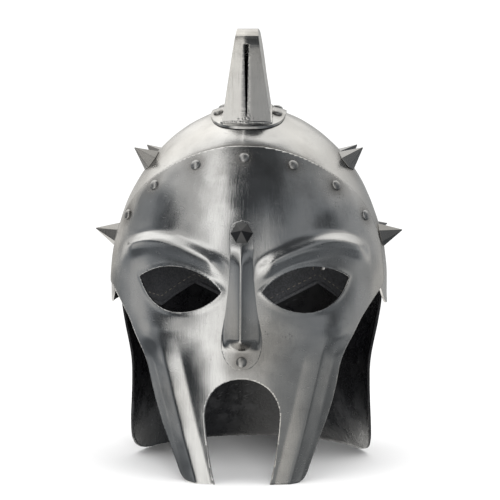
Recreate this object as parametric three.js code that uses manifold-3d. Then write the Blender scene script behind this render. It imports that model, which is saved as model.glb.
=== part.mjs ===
// A masked Roman helmet of riveted sheet steel with a black neck guard and a leather liner.
// Millimetres. +Z is up, the face looks along -Y and +X is the wearer's left.
// The helmet stands on the feet of its cheek guards and on the rim of its neck guard, at level 0.

import * as THREE from "three";
import { mergeVertices } from "three/addons/utils/BufferGeometryUtils.js";
import Module from "manifold-3d";

const wasm = await Module();
wasm.setup();

// Sheets and clearances
const steelSheet = 1.5;
const guardSheet = 2;
const nasalSheet = 1.8;
const leather = 2;
const sheetGap = 0.6; // between sheets that are riveted on each other
const guardGap = 0.9; // round the neck guard, whose edge is round where the bowl is flat
const headGap = 0.35; // under the head of a rivet or stud
const tailGap = 1.2; // between its tail and the hollow face, whose facets sag inwards
const linerSag = 0.8; // the liner has fewer facets than the bowl, so it sags more

// The bowl
const skullWidth = 216;
const skullFront = 112; // from the widest line forward
const skullRear = 128; // from the widest line back
const skullHeight = 140; // from the widest level to the crown
const widestLevel = 140; // above what the helmet stands on
const browRimRise = 36; // the rim over the eyes, above the widest level
const sideRimDrop = 12; // the rim at the sides and back, below it

// The mask, measured along the sheet from the middle of the face
const maskHalfSpan = 134;
const maskRise = 112; // the top of its arch, above the widest level
const templeRise = 38; // the foot of its arch, above the widest level
const eyeInner = 15;
const eyeWidth = 72;
const eyeHeight = 38;
const eyeRise = 7; // the eyes' middle, above the widest level
const mouthDrop = 60; // the top of the mouth gap, below the widest level
const mouthHalf = 31;
const tipInner = 27; // the cheek guards' feet
const tipWidth = 35;
const tipCorner = 9;
const cheekTaper = 26; // how much narrower the mask is at its feet
const chinTuck = 4; // how much further back its feet are
const browRelief = 5;
const socketRelief = 3.5;
const cheekRelief = 4.5;
const keelRelief = 3.2;

// The nose piece
const nasalTop = 58; // above the widest level
const nasalFoot = 53; // below it
const nasalHalf = 15;
const noseDepth = 15;
const noseSlotHalf = 8;
const noseSlotHeight = 38;

// The comb crest
const combHeight = 60; // above the crown
const combFront = 46; // from the widest line forward
const combTailInset = 16; // from the back of the bowl
const combFootHalf = 19;
const combTopHalf = 8;
const combFlange = 10;
const combRoot = 12; // how far it reaches into the bowl before it is fitted to it

// The neck guard
const guardHalfAngle = 81; // degrees, round the back
const guardOverlap = 14; // inside the bowl, above the widest level
const guardBow = 2; // how much lower its top edge is at its sides
const guardDish = 6; // how much lower the rest of it hangs at its sides
const guardFootRise = 1; // how much higher its foot is at its sides
const guardCorner = 34;
const sideTuck = 10;
const sideFlare = 4;
const napeTuck = 16;
const napeFlare = 32;

// Studs and rivets
const studRadius = 9;
const studHeight = 17;
const studClearance = 16; // from the mask to the nearest stud
const browStudRadius = 8.4;
const browStudHeight = 7.5;
const rivetRadius = 4;
const rivetHeight = 2.2;
const rivetInset = 9; // from the mask's top edge
const shankRadius = 2.3;
const shankPlay = 0.6;
const tailHeight = 1.3;
const nutRadius = 4.6;
const nutHeight = 1.6;

// Facets
const columns = 36; // round the bowl
const skullRows = 11;
const linerRows = 9;
const combFitRows = 13;
const leastStep = 0.05; // a facet that stands out less than this has no edges of its own

const degree = Math.PI / 180;
const halfWidth = skullWidth / 2;
const crownLevel = widestLevel + skullHeight;
const eyeLevel = widestLevel + eyeRise;
const eyeMiddle = eyeInner + eyeWidth / 2;
const columnAngle = (2 * Math.PI) / columns;
const { clamp, lerp, smoothstep } = THREE.MathUtils;
const bump = (distance) => Math.exp(-distance * distance);
const point = (x, y, z) => new THREE.Vector3(x, y, z);

// Solids

// Every facet has an ID of its own, so a cut keeps them all.
function toSolid(geometry) {
  const bare = geometry.clone().deleteAttribute("normal").deleteAttribute("uv");
  const merged = mergeVertices(bare, 1e-4);
  const vertProperties = new Float32Array(merged.attributes.position.array);
  const triVerts = new Uint32Array(merged.index.array);
  const faceID = new Uint32Array(triVerts.length / 3).map((_, face) => face);
  return new wasm.Manifold(new wasm.Mesh({ numProp: 3, vertProperties, triVerts, faceID }));
}

// Slivers that the cuts leave are merged into their neighbours.
function toGeometry(solid) {
  const { vertProperties, triVerts } = solid.getMesh();
  const whole = new wasm.Manifold(new wasm.Mesh({ numProp: 3, vertProperties, triVerts }));
  const mesh = whole.simplify(leastStep).getMesh();
  const geometry = new THREE.BufferGeometry();
  geometry.setAttribute("position", new THREE.BufferAttribute(mesh.vertProperties, 3));
  return geometry.setIndex(new THREE.BufferAttribute(mesh.triVerts, 1));
}

function solidFrom(points, faces) {
  return toSolid(new THREE.BufferGeometry().setFromPoints(points).setIndex(faces));
}

// The bowl's family of surfaces is an oval at each level, closed by a dome above the widest level.
// A form gives the oval's half lengths, and grow moves the surface outwards.

const depthShare = (level) => clamp((widestLevel - level) / widestLevel, 0, 1);

const skullForm = () => ({ side: halfWidth, front: skullFront, rear: skullRear });

function maskForm(level) {
  const depth = depthShare(level) ** 2;
  return { side: halfWidth - cheekTaper * depth, front: skullFront - chinTuck * depth, rear: skullRear };
}

function guardForm(level) {
  const tuck = smoothstep(depthShare(level), 0, 0.5);
  const flare = clamp(2 * depthShare(level) - 1, 0, 1) ** 2;
  const side = halfWidth - sideTuck * tuck + sideFlare * flare;
  return { side, front: skullFront, rear: skullRear - napeTuck * tuck + napeFlare * flare };
}

// A point of the surface that is shrunk towards the middle line and set at a level.
function around(form, formLevel, angle, grow, shrink, level) {
  const { side, front, rear } = form(formLevel);
  const lengthwise = Math.cos(angle) > 0 ? front : rear;
  const x = (side + grow) * shrink * Math.sin(angle);
  return point(x, -(lengthwise + grow) * shrink * Math.cos(angle), level);
}

function ovalPoint(form, angle, level, grow) {
  const rise = clamp((level - widestLevel) / (skullHeight + grow), 0, 1);
  return around(form, level, angle, grow, Math.sqrt(1 - rise * rise), level);
}

// Follows the surface from the crown: arc is in radians down to the widest level, then it runs straight down.
function arcPoint(form, angle, arc, grow) {
  const turn = Math.min(arc, Math.PI / 2);
  const level = widestLevel - (arc - turn) * skullHeight;
  return around(form, level, angle, grow, Math.sin(turn), level + (skullHeight + grow) * Math.cos(turn));
}

function arcDownTo(level) {
  const rise = (level - widestLevel) / skullHeight;
  return rise > 0 ? Math.acos(rise) : Math.PI / 2 - rise;
}

// A dome's points and its outward facets, from the crown down to a rim whose arc may change round it.
function domeSkin(form, grow, rimArc, rows) {
  const points = [arcPoint(form, 0, 0, grow)];
  const at = (row, column) => (row === 0 ? 0 : 1 + (row - 1) * columns + (column % columns));
  const faces = [];
  for (let row = 0; row < rows; row++) {
    for (let column = 0; column < columns; column++) {
      const angle = column * columnAngle;
      points.push(arcPoint(form, angle, ((row + 1) / rows) * rimArc(angle), grow));
      faces.push([at(row, column), at(row + 1, column), at(row + 1, column + 1)]);
      if (row > 0) faces.push([at(row, column), at(row + 1, column + 1), at(row, column + 1)]);
    }
  }
  const rim = Array.from({ length: columns + 1 }, (_, column) => at(rows, column));
  return { points, faces, rim };
}

function domeShell(form, grow, thickness, rimLevel, rows) {
  const rimArc = (angle) => arcDownTo(rimLevel(angle));
  const outer = domeSkin(form, grow, rimArc, rows);
  const inner = domeSkin(form, grow - thickness, rimArc, rows);
  const start = outer.points.length;
  const faces = [...outer.faces, ...inner.faces.map(([a, b, c]) => [start + a, start + c, start + b])];
  for (let column = 0; column < columns; column++) {
    const [a, b] = [outer.rim[column], outer.rim[column + 1]];
    faces.push([a, start + a, start + b], [a, start + b, b]);
  }
  return solidFrom([...outer.points, ...inner.points], faces.flat());
}

// The bowl's outer form down to the widest level as a full body, used to fit what sits on it.
function domeBody(grow) {
  const { points, faces, rim } = domeSkin(skullForm, grow, () => Math.PI / 2, combFitRows);
  const middle = points.push(point(0, 0, widestLevel)) - 1;
  for (let column = 0; column < columns; column++) faces.push([rim[column + 1], rim[column], middle]);
  return solidFrom(points, faces.flat());
}

// A sheet is cut flat from a blank and then formed.
// place takes a place on the flat blank and a depth into it, and gives the point of the formed sheet.
function formedSheet({ outline, holes = [], cells, thickness, place }) {
  const box = new THREE.Box2().setFromPoints(outline);
  const size = box.getSize(new THREE.Vector2()).addScalar(2 * cells.margin);
  const middle = box.getCenter(new THREE.Vector2());
  const blank = new THREE.BoxGeometry(size.x, size.y, thickness, cells.across, cells.up, 1);
  blank.translate(middle.x, middle.y, -thickness / 2);
  const shape = new THREE.Shape(outline);
  shape.holes = holes.map((hole) => new THREE.Path(hole));
  const cutter = new THREE.ExtrudeGeometry(shape, { depth: 3 * thickness, bevelEnabled: false });
  cutter.translate(0, 0, -2 * thickness);
  const { numVert, numProp, vertProperties, triVerts } = toSolid(blank).intersect(toSolid(cutter)).getMesh();
  const points = Array.from({ length: numVert }, (_, n) => {
    const [across, level, depth] = vertProperties.slice(n * numProp, (n + 1) * numProp);
    return place(across, level, -depth);
  });
  return solidFrom(points, Array.from(triVerts));
}

function mirrored(half) {
  const otherHalf = half.slice(1, -1).reverse();
  return [...half, ...otherHalf.map(({ x, y }) => new THREE.Vector2(-x, y))];
}

// Face mask

function maskHalfOutline() {
  const mouthTop = widestLevel - mouthDrop;
  const archFoot = mouthTop - mouthHalf;
  const tipOuter = tipInner + tipWidth;
  const jaw = { across: 0.6 * maskHalfSpan, level: 0.6 * widestLevel };
  const temple = { foot: widestLevel + 0.16 * templeRise, top: widestLevel + templeRise };
  const path = new THREE.Path();
  path.moveTo(0, mouthTop);
  path.bezierCurveTo(
    0.56 * mouthHalf, mouthTop,
    mouthHalf, lerp(mouthTop, archFoot, 0.44),
    mouthHalf, archFoot,
  );
  path.quadraticCurveTo(mouthHalf, 0.4 * archFoot, tipInner, 0);
  path.lineTo(tipOuter - tipCorner, 0);
  path.quadraticCurveTo(tipOuter, 0, tipOuter + 0.2 * tipCorner, tipCorner);
  path.bezierCurveTo(
    lerp(tipOuter, jaw.across, 0.35), 0.4 * jaw.level,
    lerp(tipOuter, jaw.across, 0.85), 0.6 * jaw.level,
    jaw.across, jaw.level,
  );
  path.bezierCurveTo(
    1.05 * jaw.across, lerp(jaw.level, temple.foot, 0.45),
    0.78 * maskHalfSpan, lerp(jaw.level, temple.foot, 0.7),
    maskHalfSpan, temple.foot,
  );
  path.lineTo(maskHalfSpan, temple.top);
  path.absellipse(0, temple.top, maskHalfSpan, maskRise - templeRise, 0, Math.PI / 2);
  return path.getPoints(5);
}

// The almond eye opening: shares of its width from the inner corner, and of its height from its middle level
const eyeCorner = [0, -0.06];
const eyeCurves = [
  { leave: [0.2, 0.46], arrive: [0.62, 0.58], end: [1, 0.18] },
  { leave: [0.82, -0.62], arrive: [0.26, -0.68], end: eyeCorner },
];

function eyeOutline(side) {
  const at = ([across, up]) => [side * (eyeInner + across * eyeWidth), eyeLevel + up * eyeHeight];
  const path = new THREE.Path();
  path.moveTo(...at(eyeCorner));
  for (const { leave, arrive, end } of eyeCurves) path.bezierCurveTo(...at(leave), ...at(arrive), ...at(end));
  return path.getPoints(6).slice(0, -1);
}

// Room for the nose, behind the nose piece
function noseSlot() {
  const path = new THREE.Path();
  path.absellipse(0, widestLevel - 0.45 * noseSlotHeight, noseSlotHalf, noseSlotHeight / 2, 0, 2 * Math.PI);
  return path.getPoints(4).slice(0, -1);
}

// Eye socket and cheekbone: place and reach as shares of the eye's width across and of its height up
const swells = [
  { across: 0, up: 0, wide: 0.47, high: 0.42, raised: -socketRelief },
  { across: 0.21, up: -0.9, wide: 0.36, high: 0.34, raised: cheekRelief },
];

// The eyebrow is an arch over the eye that fades at both ends. It is sharper above than below.
// Heights are shares of the eye's height, and reaches are shares of the eye middle's distance.
const brow = { rise: 0.26, arch: 0.63, sharp: 0.13, soft: 0.24 };
const browReach = { start: 0.03, inner: 0.15, full: 0.47, fade: 1.8, end: 2.3, span: 2.7 };

function browHeight(x, level) {
  const reach = x / eyeMiddle;
  const along = clamp((reach - browReach.start) / browReach.span, 0, 1);
  const above = (level - eyeLevel) / eyeHeight - brow.rise - brow.arch * Math.sin(Math.PI * along);
  const inner = smoothstep(reach, browReach.inner, browReach.full);
  const outer = 1 - smoothstep(reach, browReach.fade, browReach.end);
  return browRelief * bump(above / (above > 0 ? brow.sharp : brow.soft)) * inner * outer;
}

// A keel runs down each cheek guard from the cheekbone to the foot.
function keelHeight(x, level) {
  const top = eyeLevel - 0.9 * eyeHeight;
  const line = lerp(tipInner + tipWidth / 2, 1.25 * eyeMiddle, clamp(level / top, 0, 1));
  const fade = 1 - smoothstep(level, 0.78 * top, top);
  return keelRelief * Math.max(0, 1 - Math.abs(x - line) / (0.36 * tipWidth)) * fade;
}

function maskRelief(across, level) {
  const x = Math.abs(across);
  const swell = swells.reduce((sum, { across, up, wide, high, raised }) => {
    const aside = (x - eyeMiddle) / eyeWidth - across;
    return sum + raised * bump(aside / wide) * bump(((level - eyeLevel) / eyeHeight - up) / high);
  }, 0);
  return swell + browHeight(x, level) + keelHeight(x, level);
}

const maskGrow = sheetGap + steelSheet;
const maskPlace = (across, level, depth) =>
  ovalPoint(maskForm, across / halfWidth, level, maskGrow - depth + maskRelief(across, level));

const maskSheet = () =>
  formedSheet({
    outline: mirrored(maskHalfOutline()),
    holes: [eyeOutline(1), eyeOutline(-1), noseSlot()],
    cells: { across: 24, up: 24, margin: 1 },
    thickness: steelSheet,
    place: maskPlace,
  });

// Nose piece: shares of its length from the top, and of its greatest half width
const nasalSections = [
  { down: 0, half: 0 },
  { down: 0.03, half: 0.5 },
  { down: 0.11, half: 0.63 },
  { down: 0.3, half: 0.56 },
  { down: 0.58, half: 0.73 },
  { down: 0.8, half: 1 },
  { down: 0.92, half: 0.85 },
  { down: 0.985, half: 0.45 },
  { down: 1, half: 0 },
];
const nasalLength = nasalTop + nasalFoot;
const nasalLevel = (down) => widestLevel + nasalTop - down * nasalLength;

function nasalOutline() {
  const knots = nasalSections.map(({ down, half }) => new THREE.Vector2(half * nasalHalf, nasalLevel(down)));
  return mirrored(new THREE.SplineCurve(knots).getPoints(16));
}

// Its ridge rises below the brow, stands highest near the foot and leaves a flat tongue there.
function nasalRidge(across, level) {
  const down = (widestLevel + nasalTop - level) / nasalLength;
  const growth = clamp((down - 0.25) / 0.5, 0, 1);
  const ends = smoothstep(down, 0.14, 0.3) * (1 - smoothstep(down, 0.78, 0.88));
  const side = Math.abs(across) / (nasalHalf * lerp(0.5, 0.84, growth));
  return noseDepth * lerp(0.42, 1, growth) * ends * Math.max(0, 1 - side);
}

const nasalGrow = sheetGap + nasalSheet;
const nasalPlace = (across, level, depth) =>
  maskPlace(across, level, depth - nasalGrow - nasalRidge(across, level));

const nasalSheetSolid = () =>
  formedSheet({
    outline: nasalOutline(),
    cells: { across: 6, up: 14, margin: 1 },
    thickness: nasalSheet,
    place: nasalPlace,
  });

// Neck guard, whose blank is measured round the back from the middle of the nape

const guardGrow = -(steelSheet + guardGap);
const guardHalfSpan = guardHalfAngle * degree * halfWidth;

// The blank is dished: towards its sides the foot is higher, and the rows between the edges hang lower.
function guardPlace(across, level, depth) {
  const height = clamp(level / (widestLevel + guardOverlap), 0, 1);
  const lift = guardFootRise * (1 - height) - guardDish * Math.sin(Math.PI * height);
  const formed = level + lift * (across / guardHalfSpan) ** 2;
  return ovalPoint(guardForm, Math.PI + across / halfWidth, formed, guardGrow - depth);
}

function guardOutline() {
  const top = widestLevel + guardOverlap;
  const path = new THREE.Path();
  path.moveTo(0, 0);
  path.lineTo(guardHalfSpan - 1.3 * guardCorner, 0);
  path.bezierCurveTo(
    guardHalfSpan - 0.5 * guardCorner, 0,
    guardHalfSpan - 0.06 * guardCorner, 0.4 * guardCorner,
    guardHalfSpan, 1.2 * guardCorner,
  );
  const corner = guardHalfSpan - 0.7 * guardOverlap;
  path.lineTo(guardHalfSpan, top - guardBow - 0.7 * guardOverlap);
  path.quadraticCurveTo(guardHalfSpan, top - guardBow, corner, top - guardBow);
  path.quadraticCurveTo(0.5 * corner, top, 0, top);
  return mirrored(path.getPoints(5));
}

// The blank's columns line up with the bowl's.
function guardSheetSolid() {
  const halfColumns = Math.ceil((guardHalfAngle * degree) / columnAngle);
  const margin = halfColumns * columnAngle * halfWidth - guardHalfSpan;
  return formedSheet({
    outline: guardOutline(),
    cells: { across: 2 * halfColumns, up: 10, margin },
    thickness: guardSheet,
    place: guardPlace,
  });
}

// Comb crest: a folded sheet whose flat sides lean in towards the top, with a riveted flange round its foot

function domeTop(x, y, grow) {
  const lengthwise = (y < 0 ? skullFront : skullRear) + grow;
  const share = (x / (halfWidth + grow)) ** 2 + (y / lengthwise) ** 2;
  return widestLevel + (skullHeight + grow) * Math.sqrt(Math.max(0, 1 - share));
}

const combRear = skullRear - combTailInset;
const combTop = crownLevel + combHeight;
const combGrow = sheetGap + steelSheet;

// It narrows towards the top, and behind the crown also towards the tail, where 0.6 of its width is left.
function combHalfAt(y, level) {
  const foot = domeTop(0, -combFront, 0);
  const rise = clamp((level - foot) / (combTop - foot), 0, 1);
  return lerp(combFootHalf, combTopHalf, rise) * lerp(1, 0.6, clamp(y / combRear, 0, 1));
}

const combFootAt = (y) => combHalfAt(y, domeTop(0, y, 0));

// The comb as a full body, with its faces taken in by inset.
function combBody(inset) {
  const [front, rear, top] = [-combFront + inset, combRear - inset, combTop - inset];
  const tail = domeTop(0, combRear, 0) - inset;
  const root = tail - combRoot;
  const nose = 0.35 * combHeight;
  const profile = new THREE.Shape();
  profile.moveTo(front, root);
  profile.lineTo(front, top - nose);
  profile.bezierCurveTo(front, top - 0.4 * nose, front + 0.4 * nose, top, front + nose, top);
  profile.bezierCurveTo(0.38 * rear, top, 0.86 * rear, lerp(root, top, 0.66), rear, tail);
  profile.lineTo(rear - combRoot, root);
  const body = new THREE.ExtrudeGeometry(profile, { depth: 2, bevelEnabled: false, curveSegments: 9 });
  body.translate(0, 0, -1);
  const flat = body.attributes.position;
  for (let n = 0; n < flat.count; n++) {
    const [y, level, side] = [flat.getX(n), flat.getY(n), flat.getZ(n)];
    flat.setXYZ(n, side * (combHalfAt(y, level) - inset), y, level);
  }
  return toSolid(body);
}

function combFlangeSolid() {
  const half = combFootHalf + combFlange;
  const front = -combFront - 0.8 * combFlange;
  const rear = 0.8 * combRear;
  const tail = combFootAt(rear) + combFlange;
  const plan = new THREE.Path();
  plan.moveTo(0, front);
  plan.quadraticCurveTo(half, front, half, half - combFront);
  plan.quadraticCurveTo(half, 0.35 * rear, tail, rear - tail);
  plan.quadraticCurveTo(tail, rear + 0.6 * tail, 0, rear + 0.6 * tail);
  const shape = new THREE.Shape(mirrored(plan.getPoints(5)));
  const prism = new THREE.ExtrudeGeometry(shape, { depth: combTop - widestLevel, bevelEnabled: false });
  prism.translate(0, 0, widestLevel + 1);
  return domeBody(combGrow).subtract(domeBody(sheetGap)).intersect(toSolid(prism));
}

const combSolid = () =>
  combBody(0).subtract(domeBody(sheetGap)).add(combFlangeSolid()).subtract(combBody(steelSheet));

// Rims of the bowl and of the liner, by the turn from the front

const turnOf = (angle) => Math.abs(Math.atan2(Math.sin(angle), Math.cos(angle)));
const templeTurn = maskHalfSpan / halfWidth;

// The bowl's rim runs high over the eyes and falls past the temples.
function skullRim(angle) {
  const fall = smoothstep(turnOf(angle), 0.7 * templeTurn, 1.18 * templeTurn);
  return widestLevel + lerp(browRimRise, -sideRimDrop, fall);
}

// The liner's lower edge hangs in points behind the ears and at the nape. Turns are in degrees, rises are
// shares of the bowl's rise at the brow and drops are shares of the widest level.
const linerEdge = [
  { turn: 0, rise: 1.4, drop: 0 },
  { turn: 50, rise: 1.4, drop: 0 },
  { turn: 80, rise: 0.2, drop: 0 },
  { turn: 100, rise: 0, drop: 0.04 },
  { turn: 130, rise: 0, drop: 0.16 },
  { turn: 150, rise: 0, drop: 0.045 },
  { turn: 180, rise: 0, drop: 0.24 },
];

function linerRim(angle) {
  const turn = turnOf(angle) / degree;
  const levelOf = ({ rise, drop }) => widestLevel + rise * browRimRise - drop * widestLevel;
  const next = Math.max(1, linerEdge.findIndex((row) => row.turn > turn - 1e-6));
  const [before, after] = [linerEdge[next - 1], linerEdge[next]];
  return lerp(levelOf(before), levelOf(after), (turn - before.turn) / (after.turn - before.turn));
}

const linerGrow = guardGrow - guardSheet - sheetGap;

// Seats of the studs and rivets: a place on the outermost sheet, the way out of it, and the sheets' thickness

function seatOn(place, across, level, stack) {
  const step = 0.01;
  const along = place(across + step, level, 0).sub(place(across - step, level, 0));
  const up = place(across, level + step, 0).sub(place(across, level - step, 0));
  return { at: place(across, level, 0), out: along.cross(up).normalize(), stack };
}

const skullPlace = (across, level, depth) => ovalPoint(skullForm, across / halfWidth, level, -depth);
const combPlace = (x, y) => point(x, y, domeTop(x, y, combGrow));

const maskStack = 2 * steelSheet + sheetGap;
const nasalStack = nasalSheet + sheetGap + steelSheet;
const guardStack = steelSheet + guardGap + guardSheet + sheetGap + leather + linerSag;

// Two rings of studs round the sides and back. The comb's tail takes the place of one in the upper ring.
const studTurn = (Math.PI - templeTurn - (studClearance + studRadius) / halfWidth) / 3;
const studRings = [
  { rise: 0.29, spread: 1, slots: [-3, -2, -1, 0, 1, 2, 3] },
  { rise: 0.7, spread: 1.06, slots: [-3, -2, -1, 1, 2, 3] },
];
const studSeats = studRings.flatMap(({ rise, spread, slots }) =>
  slots.map((slot) => {
    const across = (Math.PI + slot * spread * studTurn) * halfWidth;
    return seatOn(skullPlace, across, widestLevel + rise * skullHeight, steelSheet);
  }),
);

const maskRivetTurns = [-72, -48, -24, 0, 24, 48, 72];
const maskSeats = maskRivetTurns.map((turn) => {
  const across = (maskHalfSpan - rivetInset) * Math.sin(turn * degree);
  const rise = (maskRise - templeRise - rivetInset) * Math.cos(turn * degree);
  return seatOn(maskPlace, across, widestLevel + templeRise + rise, maskStack);
});

const guardRivetShares = [-0.84, -0.42, 0, 0.42, 0.84];
const guardSeats = guardRivetShares.map((share) => {
  const across = Math.PI * halfWidth + share * guardHalfSpan;
  return seatOn(skullPlace, across, widestLevel + guardOverlap / 2, guardStack);
});

const combRivetPlaces = [-0.55 * combFront, 0.14 * combRear, 0.5 * combRear];
const combSeats = combRivetPlaces.flatMap((y) =>
  [-1, 1].map((side) => {
    const x = side * (combFootAt(y) + 0.5 * combFlange);
    return seatOn(combPlace, x, y, maskStack);
  }),
);

const browSeat = seatOn(nasalPlace, 0, nasalLevel(0.085), nasalSheet + sheetGap + maskStack);
const nasalSeat = seatOn(nasalPlace, 0, nasalLevel(0.945), nasalStack);

const rivet = {
  sides: 7,
  tail: [[0, -tailHeight], [0.9 * rivetRadius, 0]],
  head: [[rivetRadius, 0], [0.8 * rivetRadius, 0.6 * rivetHeight], [0, rivetHeight]],
};
const pyramidStud = (radius, height) => ({
  sides: 6,
  tail: [[0, -nutHeight], [nutRadius, -nutHeight], [nutRadius, 0]],
  head: [[radius, 0], [0, height]],
});

// A fastener is turned round its shank: the tail or nut inside, the shank through the sheets, the head.
function fastener(name, seat, { sides, tail, head }, material) {
  const inside = -(headGap + seat.stack + tailGap);
  const outline = [
    ...tail.map(([radius, height]) => [radius, inside + height]),
    [shankRadius, inside],
    [shankRadius, 0],
    ...head,
  ].map(([radius, height]) => new THREE.Vector2(radius, height));
  const mesh = new THREE.Mesh(new THREE.LatheGeometry(outline, sides).rotateX(Math.PI / 2), material);
  mesh.name = name;
  mesh.position.copy(seat.at).addScaledVector(seat.out, headGap);
  mesh.quaternion.setFromUnitVectors(point(0, 0, 1), seat.out);
  return mesh;
}

function drilled(solid, seats) {
  return seats.reduce((rest, { at, out, stack }) => {
    const [radius, reach] = [shankRadius + shankPlay, 2 * (stack + tailGap + headGap)];
    const drill = new THREE.CylinderGeometry(radius, radius, reach, 6).rotateX(Math.PI / 2);
    drill.applyQuaternion(new THREE.Quaternion().setFromUnitVectors(point(0, 0, 1), out));
    drill.translate(at.x, at.y, at.z);
    return rest.subtract(toSolid(drill));
  }, solid);
}

// Materials and the assembly

const polishedSteel = new THREE.MeshStandardMaterial({ color: 0xb4b6b5, roughness: 0.28, metalness: 1 });
const darkSteel = new THREE.MeshStandardMaterial({ color: 0x77797a, roughness: 0.35, metalness: 1 });
const blackPaint = new THREE.MeshStandardMaterial({ color: 0x17181a, roughness: 0.5, metalness: 0 });
const blackLeather = new THREE.MeshStandardMaterial({ color: 0x1d1c1c, roughness: 0.6, metalness: 0 });

const helmet = new THREE.Group();

function addSheet(name, solid, seats, material) {
  const mesh = new THREE.Mesh(toGeometry(drilled(solid, seats)), material);
  mesh.name = name;
  helmet.add(mesh);
}

function addFasteners(prefix, seats, kind, material) {
  seats.forEach((seat, n) => {
    const name = `${prefix}_${String(n + 1).padStart(2, "0")}`;
    helmet.add(fastener(name, seat, kind, material));
  });
}

const skullSeats = [...studSeats, ...maskSeats, ...guardSeats, ...combSeats, browSeat];
addSheet("skull", domeShell(skullForm, 0, steelSheet, skullRim, skullRows), skullSeats, polishedSteel);
addSheet("face_mask", maskSheet(), [...maskSeats, browSeat, nasalSeat], polishedSteel);
addSheet("nasal", nasalSheetSolid(), [browSeat, nasalSeat], polishedSteel);
addSheet("comb", combSolid(), combSeats, polishedSteel);
addSheet("neck_guard", guardSheetSolid(), guardSeats, blackPaint);
addSheet("liner", domeShell(guardForm, linerGrow, leather, linerRim, linerRows), guardSeats, blackLeather);

helmet.add(fastener("brow_stud", browSeat, pyramidStud(browStudRadius, browStudHeight), darkSteel));
helmet.add(fastener("nasal_rivet", nasalSeat, rivet, polishedSteel));
addFasteners("skull_stud", studSeats, pyramidStud(studRadius, studHeight), darkSteel);
addFasteners("mask_rivet", maskSeats, rivet, polishedSteel);
addFasteners("comb_rivet", combSeats, rivet, polishedSteel);
addFasteners("guard_rivet", guardSeats, rivet, polishedSteel);

// The origin is under the middle of the helmet's box, on what it stands on.
const box = new THREE.Box3().setFromObject(helmet, true);
helmet.position.y = -(box.min.y + box.max.y) / 2;

export default helmet;
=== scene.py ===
# A masked Roman helmet of riveted sheet steel: its fine shapes, its finishes and its studio, in metres.

from math import cos, pi, radians, sin

import bpy
import numpy as np
from mathutils import Matrix, Vector, noise


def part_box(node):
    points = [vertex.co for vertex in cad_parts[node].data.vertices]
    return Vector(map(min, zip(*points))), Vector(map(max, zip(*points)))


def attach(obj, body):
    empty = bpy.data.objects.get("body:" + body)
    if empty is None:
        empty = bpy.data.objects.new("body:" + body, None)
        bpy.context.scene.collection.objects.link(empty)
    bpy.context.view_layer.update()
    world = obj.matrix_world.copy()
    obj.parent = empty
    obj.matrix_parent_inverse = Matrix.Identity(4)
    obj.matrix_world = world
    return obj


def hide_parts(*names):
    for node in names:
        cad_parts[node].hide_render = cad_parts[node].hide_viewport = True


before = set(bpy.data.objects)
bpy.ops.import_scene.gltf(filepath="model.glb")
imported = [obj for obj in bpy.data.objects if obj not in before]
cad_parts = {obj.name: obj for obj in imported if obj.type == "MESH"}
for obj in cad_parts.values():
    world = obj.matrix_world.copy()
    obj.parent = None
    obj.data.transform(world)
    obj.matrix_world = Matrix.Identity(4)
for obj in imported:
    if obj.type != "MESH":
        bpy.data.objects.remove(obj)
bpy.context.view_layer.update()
bpy.ops.object.select_all(action="DESELECT")

bowl = {
    "side": 0.108,
    "front": 0.112,
    "rear": 0.128,
    "height": 0.140,
    "widest": 0.140,  # the level of its widest line
    "sheet": 0.0015,
    "rimRise": 0.036,  # the rim over the eyes, above the widest line
    "rimDrop": 0.012,  # the rim at the sides and back, below it
    "columns": 216,
    "rings": 88,
    "edge": 0.00035,
    "finish": ("steel", "inner"),
    "waves": ((0.0009, 0.040), (0.0002, 0.013)),  # height and length of the hammer's waves
    "seam": (0.0004, 0.0018),  # height and half width of the welded seam in front of the crest
}
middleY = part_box("skull")[1].y - bowl["rear"]
widest = bowl["widest"]
gaps = {"sheet": 0.0006, "guard": 0.0009, "head": 0.00035}


# Small tools


def smooth(value, low, high):
    share = unit((value - low) / (high - low))
    return share * share * (3 - 2 * share)


def mixed(low, high, share):
    return low + (high - low) * share


def bump(distance):
    return np.exp(-distance * distance)


def rounded(distance, radius):
    # distance without its sharp turn at 0
    return np.sqrt(distance * distance + radius * radius) - radius


def unit(value):
    return np.clip(value, 0, 1)


def places(x, y, z):
    return np.stack(np.broadcast_arrays(x, y, z), axis=-1)


def noiseAt(points):
    return np.array([noise.noise(Vector(point)) for point in points])


def getPoints(piece):
    flat = np.empty(len(piece.data.vertices) * 3)
    piece.data.vertices.foreach_get("co", flat)
    return flat.reshape(-1, 3)


def setPoints(piece, points):
    piece.data.vertices.foreach_set("co", np.asarray(points).ravel())
    piece.data.update()


def editAll(piece):
    bpy.context.view_layer.objects.active = piece
    bpy.ops.object.mode_set(mode="EDIT")
    bpy.ops.mesh.select_all(action="SELECT")


def objectMode():
    bpy.ops.object.mode_set(mode="OBJECT")


def only(piece):
    bpy.ops.object.select_all(action="DESELECT")
    piece.select_set(True)
    bpy.context.view_layer.objects.active = piece


def applyModifier(piece, kind, settings):
    only(piece)
    bpy.ops.object.modifier_add(type=kind)
    modifier = piece.modifiers[-1]
    for key, value in settings.items():
        setattr(modifier, key, value)
    bpy.ops.object.modifier_apply(modifier=modifier.name)


def addBall(columns, rings, radius=1):
    bpy.ops.mesh.primitive_uv_sphere_add(segments=columns, ring_count=rings, radius=radius)
    return bpy.context.object


def extrude(way):
    bpy.ops.mesh.extrude_region_move(TRANSFORM_OT_translate={"value": way})


def addPrism(base, way):
    # a face with these corners is drawn out along the way
    bpy.ops.mesh.primitive_circle_add(vertices=len(base), radius=1, fill_type="NGON")
    prism = bpy.context.object
    setPoints(prism, base)
    editAll(prism)
    extrude(way)
    faceOut(prism)
    return prism


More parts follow.
